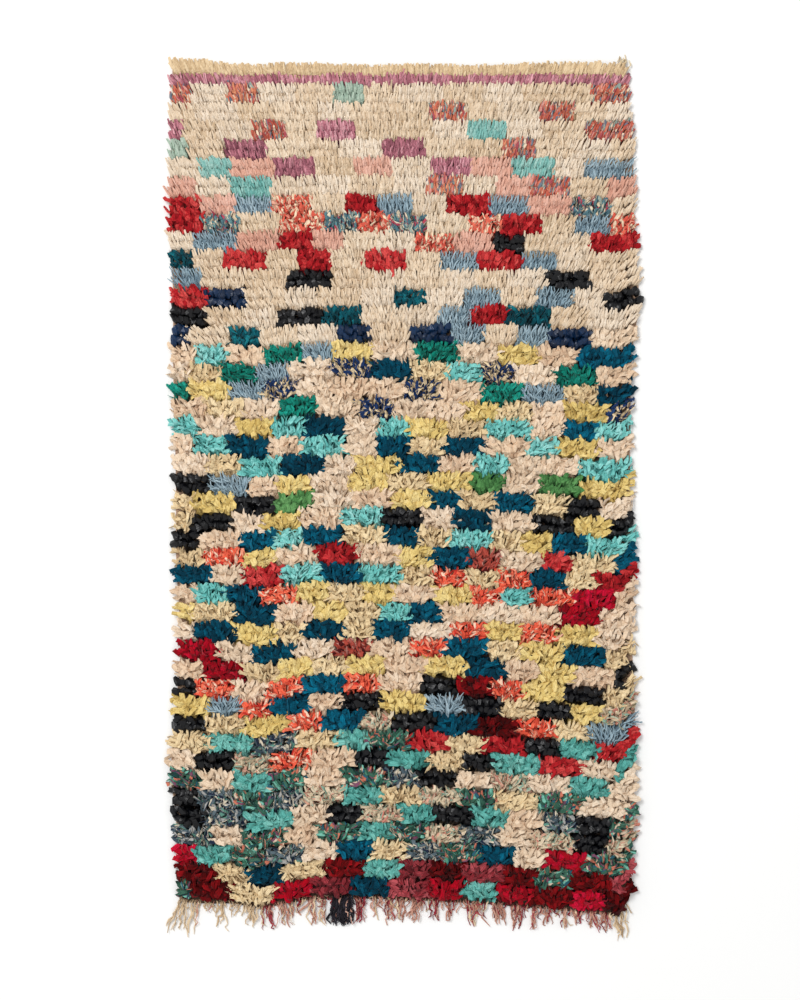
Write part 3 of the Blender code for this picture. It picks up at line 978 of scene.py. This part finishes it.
def rag_material(name, cloth, dye):
    """Torn cloth: a tone for each strip, threads along it, and the flecks of its print."""
    finish = FINISHES[cloth.finish]
    material, tree, shader = new_material(f"{finish.material}_{name}")
    for label, value in (
        ("Roughness", finish.roughness),
        ("Sheen Weight", finish.sheen),
        ("Sheen Roughness", 0.5),
        ("Coat Weight", finish.coat),
        ("Coat Roughness", 0.35),
        ("Specular IOR Level", finish.specular),
    ):
        shader.inputs[label].default_value = value

    strip = read(tree, "strip", "Vector")
    parts = split(tree, read(tree, "tone", "Vector"))
    along = read(tree, "along")

    def pattern(kind, sizes, detail=0.0, **settings):
        """A texture over the strips, in a pattern of some sizes."""
        place = add(tree, "ShaderNodeVectorMath",
                    {0: strip, 1: [1 / size for size in sizes]}, operation="MULTIPLY")
        inputs = {"Vector": place.outputs[0], "Scale": 1.0, "Detail": detail}
        return add(tree, kind, inputs, **settings).outputs

    # Threads run lengthwise, drawn coarser than their 0.5 mm so that they show.
    threads = pattern("ShaderNodeTexNoise", THREAD, 2.0)["Fac"]
    tint = 0.0
    for source, share in zip((parts[0], parts[1], threads), TINT_SHARES):
        tint = add(tree, "ShaderNodeMath", {0: source, 1: share, 2: tint},
                   operation="MULTIPLY_ADD").outputs[0]
    ramp = add(tree, "ShaderNodeValToRGB", {0: tint})
    tones = [dyed(text, cloth, dye) for text in (cloth.deep, cloth.main, cloth.light)]
    set_stops(ramp, list(zip(TONE_STOPS, tones)))
    colour = ramp.outputs["Color"]

    if cloth.flecks:
        spots = pattern("ShaderNodeTexVoronoi", FLECK)["Color"]
        prints = add(tree, "ShaderNodeValToRGB", {0: split(tree, spots)[0]})
        prints.color_ramp.interpolation = "CONSTANT"
        step = cloth.print / len(cloth.flecks)
        set_stops(prints, [(0.0, (0, 0, 0, 0))] + [
            (1 - cloth.print + index * step, hex_linear(fleck))
            for index, fleck in enumerate(cloth.flecks)
        ])
        colour = blend(tree, prints.outputs["Alpha"], colour, prints.outputs["Color"])

    # Painted shade in thin wrinkles along the strip: their lines are darkened towards the deep
    # tone.
    net = pattern("ShaderNodeTexVoronoi", WRINKLE, feature="DISTANCE_TO_EDGE")[0]
    near, far = WRINKLE_EDGES
    thin = add(tree, "ShaderNodeMapRange", {0: net, 1: near, 2: far, 3: WRINKLE_SHADE, 4: 0.0})
    colour = blend(tree, thin.outputs[0], colour, tones[0])

    # Painted shade: deep in the pile a strip is darkened towards a shadow colour made from its
    # deep tone.
    depth = add(tree, "ShaderNodeMapRange",
                {0: along, 1: 0.0, 2: finish.root, 3: ROOT_SHADE, 4: 0.0}).outputs[0]
    dark = [finish.shadow * part for part in tones[0][:3]] + [1.0]
    tree.links.new(blend(tree, depth, colour, dark), shader.inputs["Base Color"])

    place = add(tree, "ShaderNodeTexCoord").outputs["Object"]
    dents = add(tree, "ShaderNodeTexVoronoi", {"Vector": place, "Scale": 1 / DENT}).outputs[0]
    bump = add(tree, "ShaderNodeBump", {
        "Height": dents, "Strength": finish.dents, "Distance": DENT_DEPTH})
    bump = add(tree, "ShaderNodeBump", {
        "Height": threads, "Strength": 0.5, "Distance": THREAD_DEPTH,
        "Normal": bump.outputs[0]})
    tree.links.new(bump.outputs[0], shader.inputs["Normal"])
    return material


def ground_material():
    """Wool, plain-woven: dull ribs of weft over the warp, painted dark brown as the pile's shade
    away from the sides.
    """
    material, tree, shader = new_material("plain_woven_wool")
    shader.inputs["Roughness"].default_value = 0.95
    place = add(tree, "ShaderNodeTexCoord").outputs["Object"]
    weft = add(tree, "ShaderNodeTexWave",
               {"Vector": place, "Scale": 1 / WEFT_PITCH, "Distortion": 1.2, "Detail": 2.0,
                "Detail Scale": 1.0},
               wave_type="BANDS", bands_direction="Y").outputs["Fac"]
    warp = add(tree, "ShaderNodeTexWave",
               {"Vector": place, "Scale": 1 / WARP_PITCH, "Distortion": 0.8, "Detail": 1.0},
               wave_type="BANDS", bands_direction="X").outputs["Fac"]
    weave = add(tree, "ShaderNodeMath", {0: weft, 1: warp}, operation="MULTIPLY").outputs[0]
    ramp = add(tree, "ShaderNodeValToRGB", {0: weave})
    set_stops(ramp, [(0.0, hex_linear("#b8957a")), (1.0, hex_linear("#ecc9ae"))])
    # Painted shade: under the pile the ground is dark brown, and only near the sides shows its
    # pale weave.
    colour = blend(tree, read(tree, "edge"), hex_linear("#4a382b"), ramp.outputs["Color"])
    tree.links.new(colour, shader.inputs["Base Color"])
    bump = add(tree, "ShaderNodeBump", {"Height": weave, "Strength": 0.8, "Distance": 0.002})
    tree.links.new(bump.outputs[0], shader.inputs["Normal"])
    return material


# ---- pieces -----------------------------------------------------------------------


def finish_piece(piece):
    """Say what a finished piece rides on."""
    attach(piece, "root")


GROUND_CELLS = (40, 80)
GROUND_SHADE = 0.025  # the ground's painted shade fades out over about this much towards the sides
GROUND_FADE = 1.6


def make_ground():
    """The woven ground that the knots are tied to."""
    columns, rows = GROUND_CELLS
    sheet = bmesh.new()
    bmesh.ops.create_grid(sheet, x_segments=columns, y_segments=rows, size=0.5)
    for corner in sheet.verts:
        across = corner.co.x + 0.5
        down = 0.5 - corner.co.y
        x, y = RUG.place(across, down)
        x += (2 * across - 1) * (INSET_SIDE - GROUND_SIDE)
        y += (INSET_UPPER - GROUND_UPPER) * (1 - down) - (INSET_LOWER - GROUND_LOWER) * down
        corner.co = (x, y, GROUND_THICK)
    mesh = bpy.data.meshes.new("ground_weave")
    sheet.to_mesh(mesh)
    sheet.free()
    mesh.materials.append(ground_material())
    # Where the painted shade of the ground gives way to its pale weave: 1 near the sides, 0
    # inside.
    edge = mesh.attributes.new("edge", "FLOAT", "POINT")
    for value, corner in zip(edge.data, mesh.vertices):
        reach = min(RUG.side(RUG.right, corner.co.y) - corner.co.x,
                    corner.co.x - RUG.side(RUG.left, corner.co.y))
        value.value = max(0.0, min(1.0, GROUND_FADE - reach / GROUND_SHADE))
    ground = add_object("ground_weave", mesh)
    solid = ground.modifiers.new("thickness", "SOLIDIFY")
    solid.thickness = GROUND_THICK
    solid.offset = -1.0
    ground.data = plain_mesh(ground)
    ground.modifiers.clear()
    ground.data.name = "ground_weave"
    finish_piece(ground)
    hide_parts("rug_body")
    return ground


def make_strips(name, tufts, piece_name, dyes, scale, arch, seed):
    """One piece from the strip ends of one cloth."""
    cloth = CLOTHS[name]
    form = FORMS[cloth.form]
    points, cell = point_mesh(name, tufts)
    piece = run_tree(points, strip_tree(), {
        "Strip width": form.width * scale,
        "Strip thickness": form.thick * scale,
        "Crease depth": form.fold * scale,
        "Tip share": form.tip,
        "Arch height": arch,
        "Tip height": form.lift,
        "Knot width": min(form.pitch * KNOT_BREADTH, KNOT_WIDEST),
        "Knot length": ROW_PITCH * KNOT_DEPTH,
        "Knot height": KNOT_RISE,
        "Wobble": form.wobble,
        "Crumple": form.crumple,
        "Twist": form.twist,
        "Sides": form.sides,
        "Points": form.points,
        "Cell size": cell,
        "Seed": seed,
        "Cloth": rag_material(name, cloth, getattr(dyes, name)),
    }, piece_name)
    piece.data.set_sharp_from_angle(angle=math.radians(form.sharp))
    return piece


def make_pile(sizes, dyes):
    """One piece of knotted strip ends for every rag cloth."""
    pieces = []
    for name, tufts in knot_rug(sizes).items():
        piece = make_strips(
            name, tufts, "pile_" + name, dyes, sizes.strip_scale, PILE_ARCH, sizes.seed)
        finish_piece(piece)
        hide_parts("rug_body")
        pieces.append(piece)
    return pieces


def make_fringe(sizes, dyes):
    """Loose warp ends below the rug, in the colours of the warp."""
    chance = random.Random(sizes.seed + 1)
    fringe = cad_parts["warp_fringe"]
    ends = tassel_yarns(fringe, RUG.lower, -1, YARN_SPACING, chance)
    ends += short_yarns(SHORT_SPACING, chance)
    ends += tassel(BLACK_TASSEL, TASSEL_YARNS, chance)
    yarns = defaultdict(list)
    for x, tuft in ends:
        weights = next(weights for end, weights in WARP_BANDS if x < end)
        yarns[pick(chance, weights)].append(tuft)
    pieces = []
    for name, tufts in yarns.items():
        label = name.replace("warp", "fringe")
        piece = make_strips(name, tufts, label, dyes, sizes.yarn_scale, YARN_ARCH, 0)
        finish_piece(piece)
        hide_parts("warp_fringe")
        pieces.append(piece)
    return pieces


def make_corner_ends(sizes, dyes):
    """Cream yarn ends that stand out at the upper right corner."""
    chance = random.Random(sizes.seed + 2)
    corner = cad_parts["corner_ends"]
    tufts = [tuft for _, tuft in tassel_yarns(corner, RUG.upper, 1, CORNER_SPACING, chance)]
    piece = make_strips(
        "corner_cream", tufts, "corner_wisps", dyes, sizes.yarn_scale, YARN_ARCH, 0)
    finish_piece(piece)
    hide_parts("corner_ends")
    return piece


# ---- stage ------------------------------------------------------------------------


FLOOR_SIZE = 14.0
FLOOR_DROP = 0.0003  # the floor lies this far below the rug
SKY_STRENGTH = 0.74
SOFTBOX_SIZE = 4.0
SOFTBOX_POWER = 700.0
SOFTBOX_PLACE = (-4.5, 4.5, 9.0)
CAMERA_PLACE = (-0.012, -0.008, 6.0)
CAMERA_SENSOR = 36.0
VIEW_LENGTH = 2.66  # metres of the floor from the upper to the lower end of the view
VIEW_END = 50.0


def make_stage():
    """Pale floor, soft light from the upper left and a camera straight above."""
    bpy.ops.mesh.primitive_plane_add(size=FLOOR_SIZE, location=(0, 0, -FLOOR_DROP))
    floor = bpy.context.object
    floor.name = "floor"
    paper, _, shader = new_material("white_paper")
    shader.inputs["Base Color"].default_value = hex_linear("#f4f4f3")
    shader.inputs["Roughness"].default_value = 0.9
    floor.data.materials.append(paper)

    scene = bpy.context.scene
    world = bpy.data.worlds.new("studio")
    world.use_nodes = True
    sky = world.node_tree.nodes["Background"]
    sky.inputs["Color"].default_value = (1.0, 1.0, 1.0, 1.0)
    sky.inputs["Strength"].default_value = SKY_STRENGTH
    scene.world = world

    lamp = bpy.data.lights.new("softbox", "AREA")
    lamp.shape = "RECTANGLE"
    lamp.size = SOFTBOX_SIZE
    lamp.size_y = SOFTBOX_SIZE
    lamp.energy = SOFTBOX_POWER
    key = bpy.data.objects.new("softbox", lamp)
    key.location = SOFTBOX_PLACE
    key.rotation_euler = (-key.location).to_track_quat("-Z", "Y").to_euler()
    scene.collection.objects.link(key)

    lens = bpy.data.cameras.new("camera")
    lens.sensor_width = CAMERA_SENSOR
    lens.lens = CAMERA_SENSOR * CAMERA_PLACE[2] / VIEW_LENGTH
    lens.clip_end = VIEW_END
    camera = bpy.data.objects.new("camera", lens)
    camera.location = CAMERA_PLACE
    scene.collection.objects.link(camera)
    scene.camera = camera
    scene.view_settings.view_transform = "Standard"


# ---- add-on -----------------------------------------------------------------------


class RagRugSizes(bpy.types.PropertyGroup):
    """Sizes that a user may change before the rug is knotted."""

    block_width: FloatProperty(
        name="Block width", description="Usual width of one block of colour",
        default=0.102, min=0.03, max=0.3, unit="LENGTH")
    strip_scale: FloatProperty(
        name="Strip scale", description="Width and thickness of the torn strips",
        default=1.0, min=0.5, max=2.0, subtype="FACTOR")
    looseness: FloatProperty(
        name="Looseness", description="How far the two ends of a knot spread",
        default=1.0, min=0.0, max=2.0, subtype="FACTOR")
    yarn_scale: FloatProperty(
        name="Yarn scale", description="Girth of the yarns of the fringe",
        default=1.0, min=0.5, max=2.0, subtype="FACTOR")
    seed: IntProperty(
        name="Seed", description="Changes how blocks and strips fall", default=814, min=0)


def dye_property(name, cloth):
    """Colour property of one cloth."""
    label = name.replace("_", " ")
    return FloatVectorProperty(
        name=label.capitalize(), description=f"Usual colour of the {label} cloth",
        default=hex_linear(cloth.main)[:3], min=0.0, max=1.0, subtype="COLOR")


class RagRugDyes(bpy.types.PropertyGroup):
    """Colours of the cloths, which a user may change before the rug is knotted."""

    __annotations__ = {name: dye_property(name, cloth) for name, cloth in CLOTHS.items()}


class RAGRUG_OT_pile(bpy.types.Operator):
    """Weave the ground and knot the rag pile on it"""

    bl_idname = "ragrug.pile"
    bl_label = "Ground and rag pile"

    def execute(self, context):
        ground = make_ground()
        pieces = make_pile(context.scene.rag_rug_sizes, context.scene.rag_rug_dyes)
        return {"FINISHED"}


class RAGRUG_OT_fringe(bpy.types.Operator):
    """Lay the warp fringe and the loose ends of the corner"""

    bl_idname = "ragrug.fringe"
    bl_label = "Fringe and corner ends"

    def execute(self, context):
        make_fringe(context.scene.rag_rug_sizes, context.scene.rag_rug_dyes)
        make_corner_ends(context.scene.rag_rug_sizes, context.scene.rag_rug_dyes)
        return {"FINISHED"}


class RAGRUG_OT_stage(bpy.types.Operator):
    """Set the floor, the light and the camera"""

    bl_idname = "ragrug.stage"
    bl_label = "Stage"

    def execute(self, context):
        make_stage()
        return {"FINISHED"}


class RAGRUG_PT_sidebar(bpy.types.Panel):
    """Sizes, colours and steps of the rag rug"""

    bl_idname = "RAGRUG_PT_sidebar"
    bl_label = "Rag Rug"
    bl_space_type = "VIEW_3D"
    bl_region_type = "UI"
    bl_category = "Rag Rug"

    def draw(self, context):
        for group in (context.scene.rag_rug_sizes, context.scene.rag_rug_dyes):
            column = self.layout.column(align=True)
            for name in type(group).__annotations__:
                column.prop(group, name)
        for step in STEPS:
            self.layout.operator(step.bl_idname)


STEPS = (RAGRUG_OT_pile, RAGRUG_OT_fringe, RAGRUG_OT_stage)
CLASSES = (RagRugSizes, RagRugDyes, *STEPS, RAGRUG_PT_sidebar)


def register():
    for item in CLASSES:
        bpy.utils.register_class(item)
    bpy.types.Scene.rag_rug_sizes = PointerProperty(type=RagRugSizes)
    bpy.types.Scene.rag_rug_dyes = PointerProperty(type=RagRugDyes)


def unregister():
    del bpy.types.Scene.rag_rug_dyes
    del bpy.types.Scene.rag_rug_sizes
    for item in reversed(CLASSES):
        bpy.utils.unregister_class(item)


def main():
    register()
    bpy.ops.ragrug.pile()
    bpy.ops.ragrug.fringe()
    bpy.ops.ragrug.stage()


if __name__ == "__main__":
    main()
